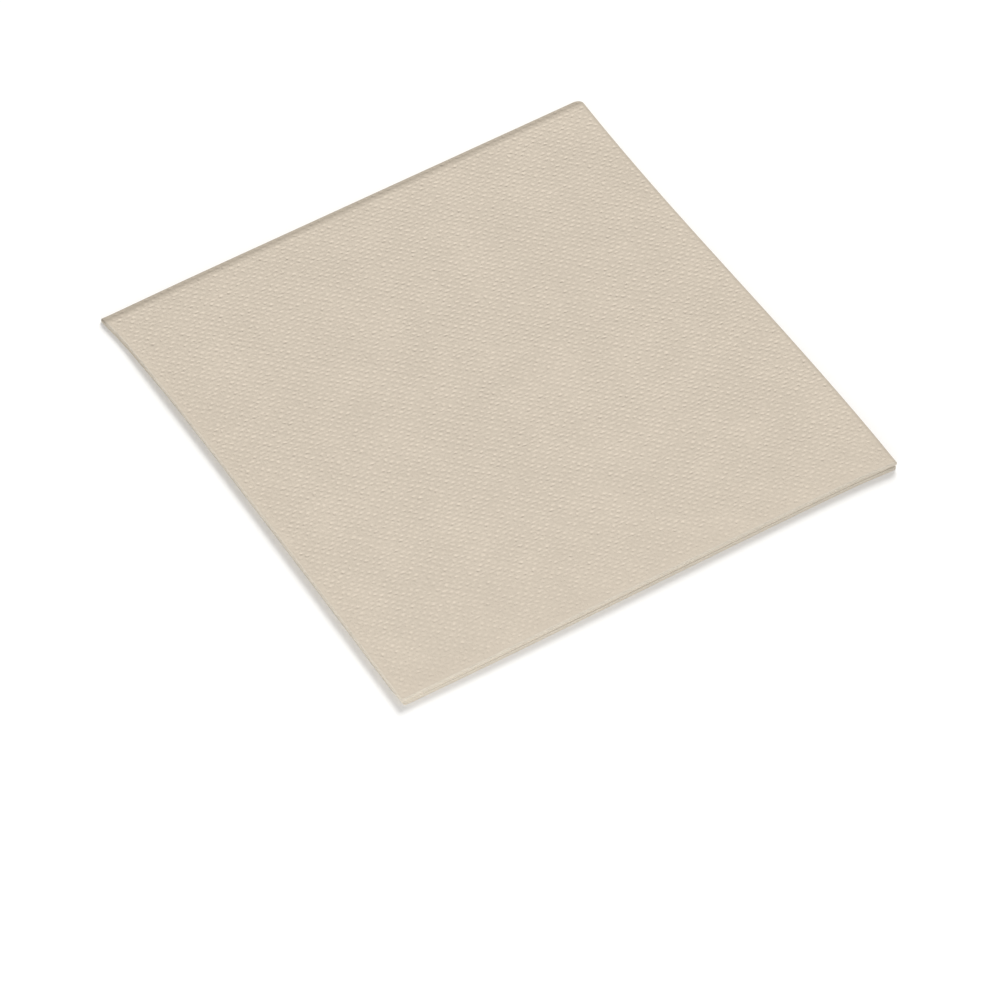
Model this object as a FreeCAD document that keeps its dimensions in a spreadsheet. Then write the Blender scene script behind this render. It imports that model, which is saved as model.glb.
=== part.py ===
import FreeCAD, Part
import math
import os
import Sketcher
from FreeCAD import Placement, Rotation, Vector

# Paper napkin, folded in quarters
#
# A square sheet of thick embossed tissue is folded in half, and the doubled strip is folded in
# half again. What lies on the table is four leaves of one sheet: a lower pair and an upper pair.
# The first fold closes each pair on the +X side. The second fold wraps both pairs on the +Y side.
# The -X side shows the cut edges of the leaves, and the -Y side shows the cut edges of the pairs.
#
# Millimetres, +Z up. The origin is the centre of the napkin's underside, which lies on the table.

doc = FreeCAD.newDocument("paper_napkin")

# Driving sizes
sheet = doc.addObject("Spreadsheet::Sheet", "sizes")
driving_sizes = [
    ("sheet_side", 330.0),      # side of the square sheet, laid flat
    ("paper_thickness", 0.34),  # the plies and the height of their embossing, pressed together
    ("leaf_gap", 0.12),         # air between the two leaves of a pair
    ("nose_gap", 0.10),         # air between the lower and the upper pair inside the second fold
    ("spring_height", 0.30),    # how far the upper pair springs up behind the second fold
    ("spring_angle", 20.0),     # degrees of the second fold's turn that the spring leaves to its crest
    ("leaf_step", 0.4),         # how far an outer leaf passes the inner leaf at the -X side
    ("pair_step", 0.6),         # how far the lower pair passes the upper pair at the -Y side
]
# Sizes that follow from them
derived_sizes = [
    ("pair_thickness", "=2 * paper_thickness + leaf_gap"),
    ("first_fold_radius", "=pair_thickness / 2"),
    ("second_fold_radius", "=pair_thickness + nose_gap / 2"),
    ("crest_radius", "=second_fold_radius + spring_height / (1 - cos(spring_angle * 1 deg))"),
    ("outer_leaf_width", "=sheet_side / 2 + leaf_step / 2"),
    ("lower_pair_reach", "=sheet_side / 2 + pair_step / 2"),
    ("upper_pair_reach", "=sheet_side / 2 - pair_step / 2"),
]
for row, (alias, value) in enumerate(driving_sizes + derived_sizes, start=1):
    sheet.set(f"A{row}", alias)
    sheet.set(f"B{row}", str(value))
    sheet.setAlias(f"B{row}", alias)
doc.recompute()


def size(alias):
    """The value of one named size."""
    return float(getattr(sheet, alias))


def origin_plane(body, role):
    """The plane of a body's own origin that has the given role."""
    return next(item for item in body.Origin.OriginFeatures if item.Role == role)


def new_sketch(body, name, role):
    """An empty sketch on one of the body's origin planes."""
    sketch = body.newObject("Sketcher::SketchObject", name)
    sketch.AttachmentSupport = [(origin_plane(body, role), "")]
    sketch.MapMode = "FlatFace"
    return sketch


def join(sketch, kind, pairs):
    """Joins the end of each first curve to the start of its second one."""
    for first, second in pairs:
        sketch.addConstraint(Sketcher.Constraint(kind, first, 2, second, 1))


def bind(sketch, name, constraint, expression):
    """Adds a named dimension that follows an expression of the sizes."""
    number = sketch.addConstraint(constraint)
    sketch.renameConstraint(number, name)
    sketch.setExpression(f"Constraints.{name}", expression)


def draw_pair_section(body):
    """Section of one pair across X: two leaves joined by the round first fold.

    The sketch's horizontal axis is the axis of the second fold, so the pair hangs below it by
    the second fold's radius. The outline runs round the outside of the fold and back inside it.
    """
    paper = size("paper_thickness")
    radius = size("first_fold_radius")
    inner_radius = radius - paper
    underside = -size("second_fold_radius")
    left = -size("outer_leaf_width") / 2
    short_left = left + size("leaf_step")
    right = -left - radius
    middle = underside + radius
    top = underside + 2 * radius
    across = Vector(0, 0, 1)

    sketch = new_sketch(body, "pair_section", "XZ_Plane")
    sketch.setExpression(
        "AttachmentOffset.Base.y", "sizes.second_fold_radius * 1 mm")
    sketch.setExpression(
        "AttachmentOffset.Base.z",
        "(sizes.second_fold_radius - sizes.lower_pair_reach / 2) * 1 mm")

    centre = Vector(right, middle, 0)
    outer_under, outer_fold, outer_top, short_cut, inner_top, inner_fold, inner_under, long_cut = (
        sketch.addGeometry([
            Part.LineSegment(Vector(left, underside, 0), Vector(right, underside, 0)),
            Part.ArcOfCircle(Part.Circle(centre, across, radius), -math.pi / 2, math.pi / 2),
            Part.LineSegment(Vector(right, top, 0), Vector(short_left, top, 0)),
            Part.LineSegment(Vector(short_left, top, 0), Vector(short_left, top - paper, 0)),
            Part.LineSegment(Vector(short_left, top - paper, 0), Vector(right, top - paper, 0)),
            Part.ArcOfCircle(Part.Circle(centre, across, inner_radius), -math.pi / 2, math.pi / 2),
            Part.LineSegment(Vector(right, underside + paper, 0), Vector(left, underside + paper, 0)),
            Part.LineSegment(Vector(left, underside + paper, 0), Vector(left, underside, 0)),
        ], False))

    join(sketch, "Tangent", [(outer_under, outer_fold), (outer_fold, outer_top)])
    join(sketch, "Coincident", [
        (outer_top, short_cut), (short_cut, inner_top), (inner_under, long_cut), (long_cut, outer_under)])
    sketch.addConstraint(Sketcher.Constraint("Tangent", inner_top, 2, inner_fold, 2))
    sketch.addConstraint(Sketcher.Constraint("Tangent", inner_fold, 1, inner_under, 1))
    sketch.addConstraint(Sketcher.Constraint("Coincident", outer_fold, 3, inner_fold, 3))
    for line in (outer_under, outer_top):
        sketch.addConstraint(Sketcher.Constraint("Horizontal", line))
    for line in (short_cut, long_cut):
        sketch.addConstraint(Sketcher.Constraint("Vertical", line))

    bind(sketch, "paper",
         Sketcher.Constraint("DistanceY", long_cut, 2, long_cut, 1, paper),
         "sizes.paper_thickness")
    bind(sketch, "fold_radius",
         Sketcher.Constraint("Radius", outer_fold, radius),
         "sizes.first_fold_radius")
    bind(sketch, "leaf_step",
         Sketcher.Constraint("DistanceX", outer_under, 1, outer_top, 2, size("leaf_step")),
         "sizes.leaf_step")
    bind(sketch, "cut_side",
         Sketcher.Constraint("DistanceX", outer_under, 1, -1, 1, -left),
         "sizes.outer_leaf_width / 2")
    bind(sketch, "fold_side",
         Sketcher.Constraint("DistanceX", -1, 1, outer_fold, 3, right),
         "sizes.outer_leaf_width / 2 - sizes.first_fold_radius")
    bind(sketch, "below_fold_axis",
         Sketcher.Constraint("DistanceY", outer_under, 1, -1, 1, -underside),
         "sizes.second_fold_radius")
    return sketch


def draw_folding_path(body):
    """Path that the section follows, seen from +X: along the table, round the second fold, back.

    The fold is pressed flat at its nose, a tight arc. A wide arc, the crest, ends the half turn and
    lifts the pair by the spring height, so the napkin is thinner at this fold than behind it.
    """
    nose_radius = size("second_fold_radius")
    crest_radius = size("crest_radius")
    spring = math.radians(size("spring_angle"))
    start = -size("lower_pair_reach") / 2
    fold = -start - nose_radius
    back = -start - size("upper_pair_reach")
    crest_y = fold - (crest_radius - nose_radius) * math.sin(spring)
    crest_z = nose_radius - (crest_radius - nose_radius) * math.cos(spring)
    across = Vector(0, 0, 1)
    nose_circle = Part.Circle(Vector(fold, nose_radius, 0), across, nose_radius)
    crest_circle = Part.Circle(Vector(crest_y, crest_z, 0), across, crest_radius)
    top = crest_z + crest_radius

    sketch = new_sketch(body, "folding_path", "YZ_Plane")
    lower_run, nose, crest, upper_run = sketch.addGeometry([
        Part.LineSegment(Vector(start, 0, 0), Vector(fold, 0, 0)),
        Part.ArcOfCircle(nose_circle, -math.pi / 2, math.pi / 2 - spring),
        Part.ArcOfCircle(crest_circle, math.pi / 2 - spring, math.pi / 2),
        Part.LineSegment(Vector(crest_y, top, 0), Vector(back, top, 0)),
    ], False)

    join(sketch, "Tangent", [(lower_run, nose), (nose, crest), (crest, upper_run)])
    sketch.addConstraint(Sketcher.Constraint("PointOnObject", lower_run, 1, -1))
    sketch.addConstraint(Sketcher.Constraint("Horizontal", lower_run))
    sketch.addConstraint(Sketcher.Constraint("Horizontal", upper_run))
    bind(sketch, "lower_edge",
         Sketcher.Constraint("DistanceX", lower_run, 1, -1, 1, -start),
         "sizes.lower_pair_reach / 2")
    bind(sketch, "fold_place",
         Sketcher.Constraint("DistanceX", -1, 1, nose, 3, fold),
         "sizes.lower_pair_reach / 2 - sizes.second_fold_radius")
    bind(sketch, "nose_radius",
         Sketcher.Constraint("Radius", nose, nose_radius),
         "sizes.second_fold_radius")
    bind(sketch, "crest_radius",
         Sketcher.Constraint("Radius", crest, crest_radius),
         "sizes.crest_radius")
    bind(sketch, "crest_place",
         Sketcher.Constraint("DistanceX", crest, 3, nose, 3, fold - crest_y),
         "(sizes.crest_radius - sizes.second_fold_radius) * sin(sizes.spring_angle * 1 deg)")
    bind(sketch, "upper_edge",
         Sketcher.Constraint("DistanceX", upper_run, 2, nose, 3, fold - back),
         "sizes.upper_pair_reach - sizes.second_fold_radius")
    return sketch


# The folded sheet
napkin = doc.addObject("PartDesign::Body", "folded_napkin")
napkin.Label = "folded_napkin"
napkin.Placement = Placement(Vector(0, 0, 0), Rotation())
section = draw_pair_section(napkin)
path = draw_folding_path(napkin)
doc.recompute()

folding = napkin.newObject("PartDesign::AdditivePipe", "quarter_folding")
folding.Profile = section
folding.Spine = path
folding.Mode = "Standard"
doc.recompute()

# Check and export
faults = [item.Name for item in doc.Objects if {"Invalid", "Error"} & set(item.State)]
if faults:
    raise RuntimeError(f"not computed: {faults}")

os.makedirs("parts", exist_ok=True)
for part in [napkin]:
    shape = part.Shape
    if shape.isNull() or not shape.isValid() or len(shape.Solids) != 1:
        raise RuntimeError(f"{part.Label} is not one valid solid")
    shape.exportStep(f"parts/{part.Label}.step")
    box = shape.BoundBox
    print(f"{part.Label}: {box.XLength:.2f} x {box.YLength:.2f} x {box.ZLength:.3f} mm,"
          f" {shape.Volume:.0f} mm3, {len(shape.Faces)} faces")
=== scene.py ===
# %% [markdown]
# # A paper napkin, folded in quarters
#
# The object is one square of thick tissue, embossed all over with small dots and folded twice.
# This lesson makes its finished look around a imported CAD model. The CAD model gives the size and
# the folds, and the mesh here is laid into the same box, in metres, with +Z up.
#
# First the frame is loaded. Its box gives the napkin's half width and half length. The finished
# napkin has to stay inside it.

# %% Load the frame
import math

import bpy
import numpy as np
from mathutils import Matrix, Vector


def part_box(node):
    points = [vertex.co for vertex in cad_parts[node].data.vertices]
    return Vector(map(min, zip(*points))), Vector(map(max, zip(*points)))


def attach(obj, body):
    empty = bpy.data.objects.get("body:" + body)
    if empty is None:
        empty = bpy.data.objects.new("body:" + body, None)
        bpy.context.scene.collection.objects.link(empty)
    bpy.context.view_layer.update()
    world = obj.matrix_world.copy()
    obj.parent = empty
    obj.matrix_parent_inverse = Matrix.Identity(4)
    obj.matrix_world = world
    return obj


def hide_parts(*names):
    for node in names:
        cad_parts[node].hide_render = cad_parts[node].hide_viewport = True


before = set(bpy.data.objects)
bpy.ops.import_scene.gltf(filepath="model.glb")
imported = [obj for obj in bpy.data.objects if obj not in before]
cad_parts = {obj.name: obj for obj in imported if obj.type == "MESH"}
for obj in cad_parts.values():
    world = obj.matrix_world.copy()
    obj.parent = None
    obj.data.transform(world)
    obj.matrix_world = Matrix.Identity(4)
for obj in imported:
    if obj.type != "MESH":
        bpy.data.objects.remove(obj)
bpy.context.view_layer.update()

NODE = "folded_napkin"
node_low, node_high = (np.array(corner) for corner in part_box(NODE))
half_x, half_y = (node_high - node_low)[:2] / 2
print(f"CAD napkin: {(node_high - node_low) * 1000} mm")

# %% [markdown]
# ## The sheet and its two folds
#
# A folded sheet can be modelled leaf by leaf, but then the folds never quite close. It is simpler
# to fold it in numbers. A point of the flat sheet has two coordinates: s runs across the first
# fold and t runs across the second one. The first fold turns s into a place across the napkin and
# a depth inside the folded pair. The second fold carries that pair along the table, round and back.
#
# The sizes are those of tissue napkins: 33 cm square, with a body of about a third of a millimetre.
# At the second fold the doubled sheet goes round a tight nose and over a wide crest, as in the CAD.

# %% Sizes of the folded sheet
MM = 0.001
SHEET_SIDE = 330 * MM
PAPER = 0.34 * MM
LEAF_GAP = 0.12 * MM
NOSE_GAP = 0.10 * MM
SPRING_HEIGHT = 0.30 * MM
SPRING_TURN = math.radians(20)
LEAF_STEP = 0.4 * MM
PAIR_STEP = 0.6 * MM

PAIR = 2 * PAPER + LEAF_GAP
FIRST_RADIUS = (PAIR - PAPER) / 2
NOSE_RADIUS = PAIR + NOSE_GAP / 2
CREST_RADIUS = NOSE_RADIUS + SPRING_HEIGHT / (1 - math.cos(SPRING_TURN))

first_centre = half_x - PAIR / 2
outer_run = half_x + first_centre
first_turn = math.pi * FIRST_RADIUS
inner_run = outer_run - LEAF_STEP
width = outer_run + first_turn + inner_run

nose_centre = half_y - NOSE_RADIUS
crest_centre = nose_centre - (CREST_RADIUS - NOSE_RADIUS) * math.sin(SPRING_TURN)
crest_base = NOSE_RADIUS - (CREST_RADIUS - NOSE_RADIUS) * math.cos(SPRING_TURN)
lower_run = half_y + nose_centre
nose_turn = (math.pi - SPRING_TURN) * NOSE_RADIUS
crest_turn = SPRING_TURN * CREST_RADIUS
upper_start = lower_run + nose_turn + crest_turn
upper_run = half_y + crest_centre - PAIR_STEP
length = upper_start + upper_run
print(f"flat sheet: {width * 1000:.1f} x {length * 1000:.1f} mm")


# %% Fold the sheet in numbers
def ramp(value, start, end):
    """0 before start, 1 after end and an S-curve of 3q^2 - 2q^3 between, with q the share of the way."""
    share = np.clip((value - start) / (end - start), 0, 1)
    return share * share * (3 - 2 * share)


def first_fold(s):
    """Place across the napkin and depth in the pair of the sheet's middle layer, with its normal.

    The outer leaf runs along +X, a half circle turns it over, and the inner leaf runs back.
    """
    turn = np.clip((s - outer_run) / FIRST_RADIUS, 0, math.pi)
    out = np.minimum(s, outer_run)
    back = np.maximum(s - outer_run - first_turn, 0)
    across = -half_x + out + FIRST_RADIUS * np.sin(turn) - back
    depth = PAIR / 2 - FIRST_RADIUS * np.cos(turn)
    return across, depth, np.sin(turn), -np.cos(turn)


def second_fold(t, depth):
    """Place along the napkin and height of a point at a depth in the pair, and its share of the turn.

    The pair lies on the table, turns about the tight nose, then about the wide crest, and lies back.
    """
    nose = np.clip((t - lower_run) / NOSE_RADIUS, 0, math.pi - SPRING_TURN)
    crest = np.clip((t - lower_run - nose_turn) / CREST_RADIUS, 0, SPRING_TURN)
    radius = np.where(crest > 0, CREST_RADIUS, NOSE_RADIUS) - depth
    centre_y = np.where(crest > 0, crest_centre, nose_centre)
    centre_z = np.where(crest > 0, crest_base, NOSE_RADIUS)
    before = np.minimum(t - lower_run, 0)
    after = np.maximum(t - upper_start, 0)
    along = centre_y + before + radius * np.sin(nose + crest) - after
    height = centre_z - radius * np.cos(nose + crest)
    return along, height, ramp(nose + crest, 0, math.pi)


# %% [markdown]
# ## How a real one lies
#
# A pressed napkin isn't a machined plate. The upper pair springs up a little towards its open
# edges, the tissue swells where it was cut, the corners are blunt, and the sides wander by about a
# millimetre. These are small smooth shifts, so each is written as a formula of the place in plan, and
# all of them are added to the folded sheet. BLUNT holds a radius for each corner, and the cubics LEFT,
# RIGHT, FRONT and BACK give the outward shift of each side in millimetres.

# %% Settle the folded sheet on the table
OPENING = math.radians(0.12)
CORNER_LIFT = 0.25 * MM
CORNER_REACH = 26 * MM
WAVE = 0.15 * MM
CUT_SWELL = 0.5
SWELL_REACH = 2.5 * MM
PRESSED = 0.3
PRESSED_REACH = 20 * MM
SET_BACK = 0.65 * MM
PULL_FORWARD = 0.4 * MM
TIP_PULL = 0.6 * MM
TIP_REACH = 9 * MM
POINT_PULL = 0.8 * MM
POINT_REACH = 7 * MM
BLUNT = {(1, 1): 2.4 * MM, (1, -1): 1.0 * MM, (-1, -1): 1.2 * MM, (-1, 1): 0.4 * MM}
LEFT = (-0.95, -1.03, 0.81, 0.30)
RIGHT = (-0.70, -2.12, 0.06, 1.66)
FRONT = (-0.58, -0.59, -0.01, 0.46)
BACK = (0.14, 0.17, 0.0, 0.0)


def bell(value, centre, spread):
    """Bell curve of height 1: e to the power of minus the squared distance in spreads."""
    return np.exp(-((value - centre) / spread) ** 2)


def near(share):
    """Fades a shift of one side out towards the other side: the fourth power of the way across."""
    return ((1 + share) / 2) ** 4


def slow_waves(across, along):
    """Crossed waves from 0 to 2, each about a napkin long: 1 plus a slanted sine times a cosine."""
    return 1 + np.sin(3.1 * across + 1.9 * along + 0.6) * np.cos(2.3 * along - 0.8)


def wander(numbers, share):
    """Outward shift of a side in metres: a cubic of the place along it, from -1 to 1, in mm."""
    return np.polynomial.polynomial.polyval(share, numbers) * MM


def blunt_corner(x, y, side_x, side_y, radius):
    """Rounds one corner: the square of the corner is mapped on a quarter disc of that radius.

    Each coordinate shrinks by the root of 1 minus half the square of the other one.
    """
    a = np.clip((side_x * x - half_x + radius) / radius, 0, None)
    b = np.clip((side_y * y - half_y + radius) / radius, 0, None)
    shift_x = a * (np.sqrt(1 - np.clip(b, 0, 1) ** 2 / 2) - 1) * radius
    shift_y = b * (np.sqrt(1 - np.clip(a, 0, 1) ** 2 / 2) - 1) * radius
    return x + side_x * shift_x, y + side_y * shift_y


def settle(x, y, z, upper, depth, cut):
    """Adds the small shifts of a napkin that lies loose.

    upper is 1 on the upper pair, depth is the place in the pair and cut the way to a cut edge.
    """
    along, across = y / half_y, x / half_x
    corner = bell(x, half_x, CORNER_REACH) * bell(y, -half_y, CORNER_REACH)
    waves = WAVE * slow_waves(across, along) * ramp(1 - along, 0, 0.8)
    lift = (half_y - y) * math.tan(OPENING) + CORNER_LIFT * corner + waves
    swell = CUT_SWELL * (1 - ramp(cut, 0, SWELL_REACH))
    z = z + (1 - upper) * swell * depth + upper * (lift + swell * (PAIR / 2 - depth))
    z = z * (1 - PRESSED * bell(x, -half_x, PRESSED_REACH) * bell(y, half_y, PRESSED_REACH))

    for (side_x, side_y), radius in BLUNT.items():
        x, y = blunt_corner(x, y, side_x, side_y, radius)
    tip = TIP_PULL * bell(x, half_x, TIP_REACH)
    point = POINT_PULL * bell(y, half_y, POINT_REACH)
    set_back = SET_BACK * (1 - upper) * ramp(1 - along, 0, 0.5)
    x = x + near(across) * wander(RIGHT, along)
    x = x - near(-across) * (wander(LEFT, along) + point - set_back)
    y = y + near(along) * wander(BACK, across)
    y = y - near(-along) * (wander(FRONT, across) + PULL_FORWARD * upper + tip)
    return x, y, z


# %% [markdown]
# ## The embossing
#
# Steel rolls press the tissue into staggered rows of dots, which stand up on the outside. The
# product of two cosines has just such peaks: one at each crossing of the rows, and one in each
# middle. The squares of the two cosines draw the dots out along their rows. The dots are real relief
# on the leaf that shows, and the finish repeats the same formula, so the two always agree.
#
# A second formula says how clear the embossing is: it fades at the cut edges and at the first fold,
# and it is worn along the open edge, most at its cut corner. Three more mark where the finish paints
# colour: paler cut edges, partly fluff and partly painted light, painted shade on the creases, and a
# warm painted shade inside the napkin.

# %% Emboss the sheet
DOT_COLUMNS = 62
DOT_ROWS = 63
DOT_RELIEF = 0.06 * MM
ROW_SHARE = 1.1
COLUMN_SHARE = 0.288
CUT_BORDER = 3.0 * MM
PLAIN_FOLD = 0.2 * MM
FOLD_BORDER = 1.8 * MM
GRID_BORDER = 1.5 * MM
EDGE_WEAR = 0.27
EDGE_WEAR_REACH = 24 * MM
CORNER_WEAR = 0.18
CORNER_WEAR_REACH = 60 * MM
CUT_WIDTH = 0.5 * MM
FIRST_CREASE = 0.6
FIRST_CREASE_WIDTH = 0.6 * MM
SECOND_CREASE_FADE = 1.0 * MM
INSIDE_START = 0.7 * MM
INSIDE_FULL = 1.5 * MM

column_step = outer_run / DOT_COLUMNS
row_step = upper_run / DOT_ROWS
pattern_peak = 1 + ROW_SHARE + COLUMN_SHARE
print(f"dots every {column_step * 1000:.2f} x {row_step * 1000:.2f} mm, staggered")


def dots(s, t):
    """Height of the embossing from 0 to 1.

    It is the product of two cosines plus a share of the square of each, over the highest value.
    """
    column = np.cos(2 * math.pi * s / column_step)
    row = np.cos(2 * math.pi * (length - t) / row_step)
    return (column * row + ROW_SHARE * row ** 2 + COLUMN_SHARE * column ** 2) / pattern_peak


def way_to_cut(s, t):
    """Distance on the flat sheet to the nearest cut edge."""
    return np.minimum(np.minimum(s, width - s), np.minimum(t, length - t))


def clearness(s, t):
    """How clear the embossing is, from 0 to 1."""
    fold = np.abs(s - outer_run - first_turn / 2)
    wear = bell(t, length, EDGE_WEAR_REACH) * (EDGE_WEAR + CORNER_WEAR * bell(s, 0, CORNER_WEAR_REACH))
    return ramp(way_to_cut(s, t), 0, CUT_BORDER) * ramp(fold, PLAIN_FOLD, FOLD_BORDER) * (1 - wear)


# The finish paints the cut edges paler along this mask, partly for their fluff and partly as painted light
# through the edge.
def cut_edge(s, t):
    """1 at a cut edge, fading out within half a millimetre."""
    return 1 - ramp(way_to_cut(s, t), 0, CUT_WIDTH)


def crease(s, t):
    """Mask of painted shade: 1 on the pressed nose of the second fold and a little less on the first fold.
    """
    starts = ramp(t, lower_run, lower_run + nose_turn / 2)
    ends = ramp(t, upper_start - SECOND_CREASE_FADE, upper_start + SECOND_CREASE_FADE)
    first = FIRST_CREASE * bell(s, outer_run + first_turn / 3, FIRST_CREASE_WIDTH)
    return np.maximum(starts * (1 - ends), first)


def inside(s, t):
    """Mask of a warm painted shade: 1 on the leaves that face each other inside the napkin, behind their
    cut edges.
    """
    turned = ramp(s, outer_run + first_turn, outer_run + 2 * first_turn)
    return turned * ramp(way_to_cut(s, t), INSIDE_START, INSIDE_FULL)


def relief(s, t):
    """Relief of the outer side in metres, only on the fine part of the grid."""
    fine = ramp(outer_run - s, 0, GRID_BORDER) * ramp(t - upper_start, 0, GRID_BORDER)
    return DOT_RELIEF * dots(s, t) * clearness(s, t) * fine


# %% [markdown]
# ## One closed mesh
#
# The outer side of the sheet is a fine grid, four cells to each row of dots. The inner side is
# hidden between the leaves, so there only every tenth grid line is kept, and all of those in the
# folds. A ring of triangles joins the fine rim to the coarse grid, and a narrow wall closes the
# cut edges. So the paper has a real thickness and no open edge.

# %% Grid lines of the sheet
CELLS_PER_STEP = 4
TURN_CELLS = 12
CREST_CELLS = 4
HIDDEN_CELLS = 24
INNER_STRIDE = 10
FOLD_MARGIN = 4 * MM


def lines(*stretches):
    """Grid lines over stretches that follow each other, each given as (length, number of cells)."""
    ends = np.cumsum([0] + [stretch for stretch, _ in stretches])
    parts = [np.linspace(a, b, n, endpoint=False) for a, b, (_, n) in zip(ends, ends[1:], stretches)]
    return np.append(np.concatenate(parts), ends[-1])


def coarse(fine, start, end):
    """Numbers of the fine lines that the inner side keeps: every tenth, and all in the fold."""
    number = np.arange(len(fine))
    in_fold = (fine > start - FOLD_MARGIN) & (fine < end + FOLD_MARGIN)
    keep = (number % INNER_STRIDE == INNER_STRIDE // 2) | in_fold
    return number[keep & (number > 0) & (number < len(fine) - 1)]


s_lines = lines((outer_run, CELLS_PER_STEP * DOT_COLUMNS), (first_turn, TURN_CELLS),
                (inner_run, HIDDEN_CELLS))
t_lines = lines((lower_run, HIDDEN_CELLS), (nose_turn, TURN_CELLS), (crest_turn, CREST_CELLS),
                (upper_run, CELLS_PER_STEP * DOT_ROWS))
print(f"outer grid: {len(s_lines)} x {len(t_lines)} lines")


# %% Points, faces and seams
def sheet_points(s, t, side):
    """Points of one side of the paper: the folded middle layer, moved by half the thickness."""
    across, depth, normal_x, normal_depth = first_fold(s)
    offset = side * PAPER / 2 + (relief(s, t) if side > 0 else 0)
    x = across + offset * normal_x
    deep = depth + offset * normal_depth
    y, z, upper = second_fold(t, deep)
    return np.stack(settle(x, y, z, upper, deep, way_to_cut(s, t)), axis=-1)


def grid_faces(numbers):
    """Quads between neighbouring rows and columns of a grid of point numbers."""
    corners = numbers[:-1, :-1], numbers[:-1, 1:], numbers[1:, 1:], numbers[1:, :-1]
    return np.stack([c.ravel() for c in corners], axis=1)


def rim(grid):
    """The values round the border of a grid, once round from the first corner."""
    return np.concatenate([grid[:-1, 0], grid[-1, :-1], grid[:0:-1, -1], grid[0, :0:-1]])


def rim_place(s, t):
    """Place round the border from 0 to 4: the side's number, and the share of that side."""
    a, b = (s - s[0, 0]) / np.ptp(s), (t - t[0, 0]) / np.ptp(t)
    sides = a[:-1, 0], 1 + b[-1, :-1], 3 - a[:0:-1, -1], 4 - b[0, :0:-1]
    return np.concatenate(sides)


def zip_loops(outer, outer_place, inner, inner_place):
    """Triangles between two closed loops: at each step the loop whose next point comes first moves."""
    places = np.append(outer_place[1:], 4), np.append(inner_place[1:], 4)
    order = np.argsort(np.concatenate(places), kind="stable")
    outer_moves = order < len(outer)
    outer_now = np.cumsum(outer_moves) - outer_moves
    inner_now = np.cumsum(~outer_moves) - ~outer_moves
    a, b = outer[outer_now % len(outer)], inner[inner_now % len(inner)]
    next_outer = outer[(outer_now + 1) % len(outer)]
    next_inner = inner[(inner_now + 1) % len(inner)]
    return np.stack([a, b, np.where(outer_moves, next_outer, next_inner)], axis=1)


def napkin_mesh():
    """The closed sheet: fine outer side, wall round the cut edges, ring of triangles, coarse side."""
    s, t = np.meshgrid(s_lines, t_lines, indexing="ij")
    keep_s = coarse(s_lines, outer_run, outer_run + first_turn)
    keep_t = coarse(t_lines, lower_run, upper_start)
    s_in, t_in = s[np.ix_(keep_s, keep_t)], t[np.ix_(keep_s, keep_t)]

    outer_ids = np.arange(s.size).reshape(s.shape)
    rim_ids = s.size + np.arange(len(rim(s)))
    inner_ids = s.size + len(rim_ids) + np.arange(s_in.size).reshape(s_in.shape)
    places = [(s.ravel(), t.ravel(), 1), (rim(s), rim(t), -1), (s_in.ravel(), t_in.ravel(), -1)]
    points = np.concatenate([sheet_points(*place) for place in places])
    flat = np.concatenate([np.stack(place[:2], axis=1) for place in places])

    outer_rim = rim(outer_ids)
    wall = np.stack([outer_rim, rim_ids, np.roll(rim_ids, -1), np.roll(outer_rim, -1)], axis=1)
    ring = zip_loops(rim_ids, rim_place(s, t), rim(inner_ids), rim_place(s_in, t_in))
    faces = [grid_faces(outer_ids), wall[:, ::-1], ring[:, ::-1], grid_faces(inner_ids)[:, ::-1]]
    return points, flat, [face.tolist() for group in faces for face in group]


points, flat, faces = napkin_mesh()
mesh = bpy.data.meshes.new("napkin")
mesh.from_pydata(points, [], faces)
mesh.validate()
mesh.shade_smooth()
napkin = bpy.data.objects.new("napkin", mesh)
bpy.context.scene.collection.objects.link(napkin)

uv_layer = mesh.uv_layers.new(name="flat_sheet")
corner_points = np.zeros(len(mesh.loops), dtype=np.int32)
mesh.loops.foreach_get("vertex_index", corner_points)
uv_layer.data.foreach_set("uv", (flat[corner_points] / SHEET_SIDE).astype(np.float32).ravel())

for formula in (clearness, cut_edge, crease, inside):
    layer = mesh.attributes.new(formula.__name__, "FLOAT", "POINT")
    layer.data.foreach_set("value", formula(*flat.T).astype(np.float32))

mesh.calc_loop_triangles()
tri = np.array([triangle.vertices[:] for triangle in mesh.loop_triangles])
volume = np.einsum("ij,ij->i", points[tri[:, 0]], np.cross(points[tri[:, 1]], points[tri[:, 2]])).sum() / 6
print(f"{len(tri)} triangles, volume {volume * 1e6:.2f} cm3")

# %% [markdown]
# ## The finish: embossed tissue paper
#
# Creped tissue is a loose felt of fibres, so it is quite matt and has no clear highlight. Its
# colour is an unbleached beige. The tops of the dots are painted a touch paler and the valleys a
# touch darker, as painted light and painted shade on the relief. A cut edge is painted paler, partly
# for its fluff and partly as painted light through the edge. The noses of the folds get painted
# shade, and between the leaves a warm, dark painted shade stands for shade and for light that has
# passed through tissue. No two dots are quite alike, so a noise shifts the rows by one or two tenths
# of a millimetre, another one makes some dots flatter, and a finer one gives the fibres.

# %% Build the tissue material
# Painted shade in the valleys of the dots and painted light on their tops.
VALLEY_SHADE = "#CFC3B2"
CREST_LIGHT = "#E0D3C1"
# Paler cut edges: partly their own fluff, partly painted light through the edge.
CUT_FLUFF_AND_LIGHT = "#FAF0DF"
# Warm, dark painted shade between the leaves.
INSIDE_SHADE = "#B48F68"
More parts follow.
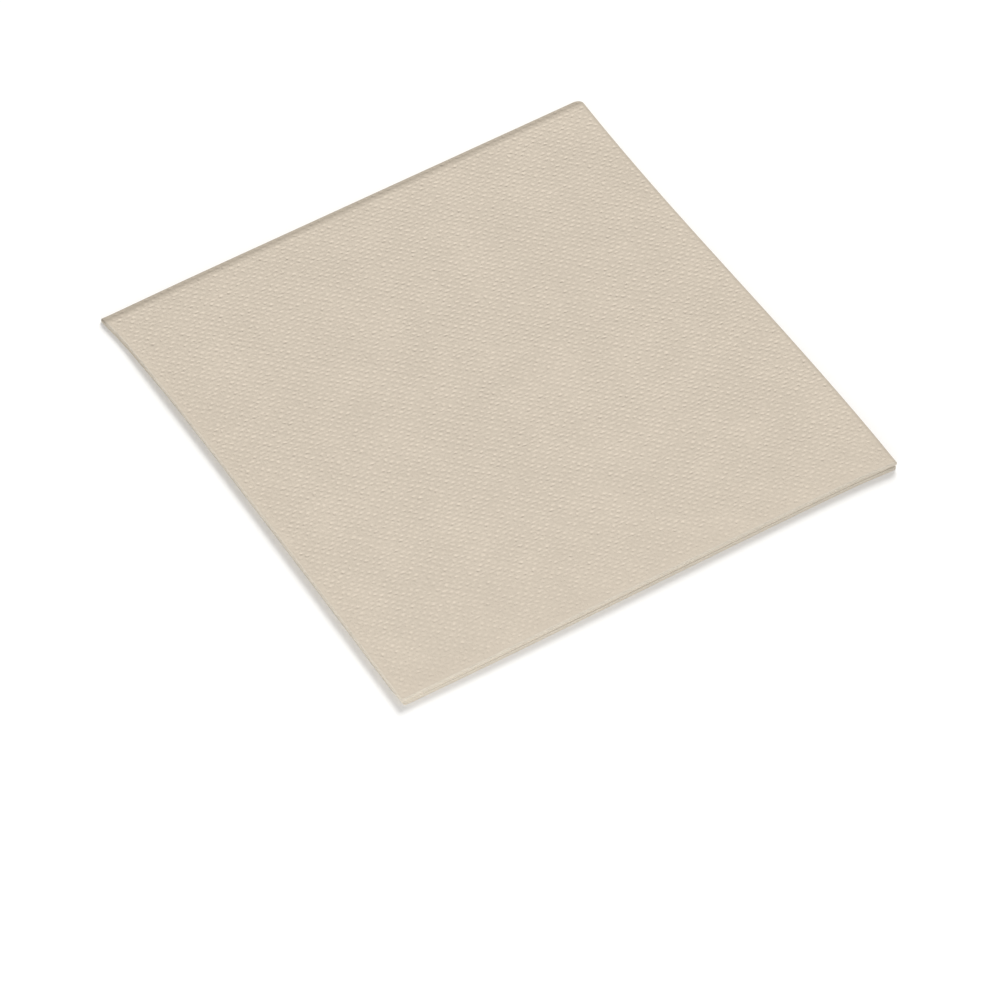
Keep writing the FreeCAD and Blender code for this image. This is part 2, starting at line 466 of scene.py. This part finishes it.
# Painted shade on the noses of the folds, at the share below.
CREASE_SHADE = "#A99E8E"
CREASE_SHADE_SHARE = 0.8
ROUGHNESS = 0.92
DOT_BUMP = 0.17 * MM
FIBRE_BUMP = 0.28 * MM
WOBBLE = 0.4
WOBBLE_SIZE = 4 * MM
DOT_CHANGE_SIZE = 2.0 * MM
FLATTEST_DOT = 0.15
TALLEST_DOT = 1.5
FIBRE_SIZE = 0.9 * MM
CLOUD_SIZE = 14 * MM
CLOUD_SHADE = 0.15


def linear(code):
    """Linear RGBA of an sRGB hex colour."""
    parts = np.array([int(code[i:i + 2], 16) for i in (1, 3, 5)]) / 255
    value = np.where(parts <= 0.04045, parts / 12.92, ((parts + 0.055) / 1.055) ** 2.4)
    return (*value, 1.0)


def add(tree, kind, links=None, settings=None, **values):
    """Adds a node, sets its properties and its inputs' values, and links its inputs.

    An input is called by its name or its number, and a value for input number 1 is named _1.
    """
    node = tree.nodes.new(kind)
    for name, value in (settings or {}).items():
        setattr(node, name, value)
    for name, value in values.items():
        node.inputs[int(name[1:]) if name[1:].isdigit() else name].default_value = value
    for name, socket in (links or {}).items():
        tree.links.new(socket, node.inputs[name])
    return node


def vector_math(tree, operation, first, second=None, **values):
    """A vector node whose first input is linked, and whose second is linked or has a value."""
    links = {0: first} if second is None else {0: first, 1: second}
    return add(tree, "ShaderNodeVectorMath", links, {"operation": operation}, **values).outputs


def number_math(tree, operation, first, second=None, **values):
    """A math node whose first input is linked, and whose second is linked or has a value."""
    links = {0: first} if second is None else {0: first, 1: second}
    return add(tree, "ShaderNodeMath", links, {"operation": operation}, **values).outputs[0]


def noise(tree, size, detail, output="Fac"):
    """Noise of a grain size in metres, in the napkin's own coordinates."""
    place = add(tree, "ShaderNodeTexCoord")
    return add(tree, "ShaderNodeTexNoise", {"Vector": place.outputs["Object"]},
               Scale=1 / size, Detail=detail, Roughness=0.6).outputs[output]


def spread(tree, value, low, high):
    """Stretches the usual range of a noise, 0.3 to 0.7, to the range from low to high."""
    return add(tree, "ShaderNodeMapRange", {"Value": value}, _1=0.3, _2=0.7, _3=low, _4=high).outputs[0]


def tint(tree, colour, share, code):
    """Mixes a share of an sRGB hex colour into a colour."""
    return add(tree, "ShaderNodeMix", {"Factor": share, 6: colour}, {"data_type": "RGBA"},
               _7=linear(code)).outputs[2]


def attribute(tree, name):
    """The values of one attribute of the mesh."""
    return add(tree, "ShaderNodeAttribute", settings={"attribute_name": name}).outputs["Fac"]


material = bpy.data.materials.new("embossed_tissue_paper")
material.use_nodes = True
tree = material.node_tree
tree.nodes.clear()

# %% The dots again, as nodes
sheet_uv = add(tree, "ShaderNodeUVMap", settings={"uv_map": "flat_sheet"}).outputs["UV"]
turns = vector_math(tree, "MULTIPLY", sheet_uv,
                    _1=(2 * math.pi * SHEET_SIDE / column_step, 2 * math.pi * SHEET_SIDE / row_step, 0))[0]
started = vector_math(tree, "SUBTRACT", turns, _1=(0, 2 * math.pi * length / row_step, 0))[0]
wobble = vector_math(tree, "SUBTRACT", noise(tree, WOBBLE_SIZE, 1.0, "Color"), _1=(0.5, 0.5, 0.5))[0]
wobble = vector_math(tree, "SCALE", wobble, Scale=WOBBLE * 2 * math.pi)[0]
cosines = vector_math(tree, "COSINE", vector_math(tree, "ADD", started, wobble)[0])[0]
squares = vector_math(tree, "MULTIPLY", cosines, cosines)[0]
shares = vector_math(tree, "DOT_PRODUCT", squares, _1=(COLUMN_SHARE, ROW_SHARE, 0))[1]
parts = add(tree, "ShaderNodeSeparateXYZ", {0: cosines})
product = number_math(tree, "MULTIPLY", parts.outputs["X"], parts.outputs["Y"])
pattern = number_math(tree, "DIVIDE", number_math(tree, "ADD", product, shares), _1=pattern_peak)
change = spread(tree, noise(tree, DOT_CHANGE_SIZE, 1.0), FLATTEST_DOT, TALLEST_DOT)
strength = number_math(tree, "MULTIPLY", attribute(tree, "clearness"), change)
height = number_math(tree, "MULTIPLY", pattern, strength)
print(f"dots in the finish: {len(tree.nodes)} nodes")

# %% Colours, bumps and surface
clouds = spread(tree, noise(tree, CLOUD_SIZE, 2.0), -CLOUD_SHADE, CLOUD_SHADE)
# Dot tops are painted paler and valleys darker, as painted light and shade, plus random mottling from the
# clouds.
crest_light_and_mottling = number_math(tree, "ADD", height, clouds)
fibres = noise(tree, FIBRE_SIZE, 3.0)
colour = add(tree, "ShaderNodeMix", {"Factor": crest_light_and_mottling}, {"data_type": "RGBA"},
             _6=linear(VALLEY_SHADE), _7=linear(CREST_LIGHT)).outputs[2]
# Painted shade on the noses of the folds.
crease_shade = number_math(tree, "MULTIPLY", attribute(tree, "crease"), _1=CREASE_SHADE_SHARE)
# Cut edges painted paler: partly fluff, partly painted light.
colour = tint(tree, colour, attribute(tree, "cut_edge"), CUT_FLUFF_AND_LIGHT)
colour = tint(tree, colour, crease_shade, CREASE_SHADE)
# Warm painted shade between the leaves.
colour = tint(tree, colour, attribute(tree, "inside"), INSIDE_SHADE)

dot_bump = add(tree, "ShaderNodeBump", {"Height": height}, Strength=1.0, Distance=DOT_BUMP)
fibre_bump = add(tree, "ShaderNodeBump", {"Height": fibres, "Normal": dot_bump.outputs[0]},
                 Strength=1.0, Distance=FIBRE_BUMP)
surface = add(tree, "ShaderNodeBsdfPrincipled", {"Base Color": colour, "Normal": fibre_bump.outputs[0]},
              Roughness=ROUGHNESS, IOR=1.45)
add(tree, "ShaderNodeOutputMaterial", {"Surface": surface.outputs[0]})
mesh.materials.append(material)
print(f"material {material.name}: {len(tree.nodes)} nodes")

# %% [markdown]
# ## The table, the light and the camera
#
# The table is a plain white sheet that goes on behind the view. The main lamp is soft and stands
# behind the napkin, so that each dot has a lit back and a shaded front. A low lamp at the camera's
# side lights the cut edges. The camera stands where the photograph's did: its direction, distance and
# focal length were fitted to the four corners of the napkin.

# %% White table
TABLE_SIDE = 6.0
CARD_WHITE = "#F6F5F3"
CARD_GLOW = 0.12


def plain_table():
    """A large flat square under the napkin, white to the eye, with the napkin's shadow on it."""
    corners = np.array([(-1, -1, 0), (1, -1, 0), (1, 1, 0), (-1, 1, 0)]) * TABLE_SIDE / 2
    table_mesh = bpy.data.meshes.new("table")
    table_mesh.from_pydata(corners, [], [(0, 1, 2, 3)])
    table = bpy.data.objects.new("table", table_mesh)
    bpy.context.scene.collection.objects.link(table)
    return table


table = plain_table()
table_material = bpy.data.materials.new("white_card")
table_material.use_nodes = True
table_tree = table_material.node_tree
table_tree.nodes.clear()
card = add(table_tree, "ShaderNodeBsdfDiffuse", Color=linear(CARD_WHITE)).outputs[0]
glow = add(table_tree, "ShaderNodeEmission", Strength=CARD_GLOW).outputs[0]
rays = add(table_tree, "ShaderNodeLightPath").outputs
seen = number_math(table_tree, "MAXIMUM", rays["Is Camera Ray"], rays["Is Glossy Ray"])
seen = number_math(table_tree, "MAXIMUM", seen, rays["Is Transmission Ray"])
shown_glow = add(table_tree, "ShaderNodeMixShader", {0: seen, 2: glow}).outputs[0]
both = add(table_tree, "ShaderNodeAddShader", {0: card, 1: shown_glow}).outputs[0]
add(table_tree, "ShaderNodeOutputMaterial", {"Surface": both})
table.data.materials.append(table_material)
print(f"table: {TABLE_SIDE:.0f} m of {table_material.name}")

# %% Soft studio light
SKY_STRENGTH = 0.42

scene = bpy.context.scene
world = bpy.data.worlds.new("studio")
world.use_nodes = True
sky = world.node_tree.nodes["Background"]
sky.inputs["Color"].default_value = linear("#FFFFFF")
sky.inputs["Strength"].default_value = SKY_STRENGTH
scene.world = world


def soft_lamp(name, place, side, power):
    """A square area lamp at a place, turned to the middle of the napkin, of a power in watts."""
    lamp_data = bpy.data.lights.new(name, "AREA")
    lamp_data.size = side
    lamp_data.energy = power
    lamp = bpy.data.objects.new(name, lamp_data)
    lamp.location = place
    lamp.rotation_euler = (-Vector(place)).to_track_quat("-Z", "Y").to_euler()
    scene.collection.objects.link(lamp)
    return lamp


lamps = [
    soft_lamp("key", place=(2.53, 2.87, 3.21), side=2.6, power=225.0),
    soft_lamp("front_fill", place=(-0.256, -0.395, 0.171), side=0.25, power=0.55),
]
for lamp in lamps:
    print(f"{lamp.name}: {lamp.location.length:.2f} m away, {lamp.data.energy:.2f} W")

# %% Camera
AZIMUTH = math.radians(-33.86)
ELEVATION = math.radians(50.42)
ROLL = math.radians(1.955)
DISTANCE = 2.2
AIM = Vector((-0.02011, -0.03358, 0.0))
FOCAL_PIXELS = 7784.0
PHOTO_PIXELS = 1000
SENSOR = 36.0

towards = Vector((math.sin(AZIMUTH) * math.cos(ELEVATION), -math.cos(AZIMUTH) * math.cos(ELEVATION),
                  math.sin(ELEVATION)))
level = Vector((0, 0, 1)).cross(towards).normalized()
upright = towards.cross(level)
right = level * math.cos(ROLL) + upright * math.sin(ROLL)
up = upright * math.cos(ROLL) - level * math.sin(ROLL)

camera_data = bpy.data.cameras.new("camera")
camera_data.sensor_width = SENSOR
camera_data.lens = SENSOR * FOCAL_PIXELS / PHOTO_PIXELS
camera_data.clip_end = 20
camera = bpy.data.objects.new("camera", camera_data)
turned = Matrix((right, up, towards)).transposed().to_4x4()
camera.matrix_world = Matrix.Translation(AIM + towards * DISTANCE) @ turned
scene.collection.objects.link(camera)
scene.camera = camera
scene.view_settings.view_transform = "Standard"
print(f"camera: {camera_data.lens:.0f} mm lens, {DISTANCE} m away")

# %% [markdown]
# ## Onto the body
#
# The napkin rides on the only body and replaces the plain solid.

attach(napkin, "root")
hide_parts(NODE)
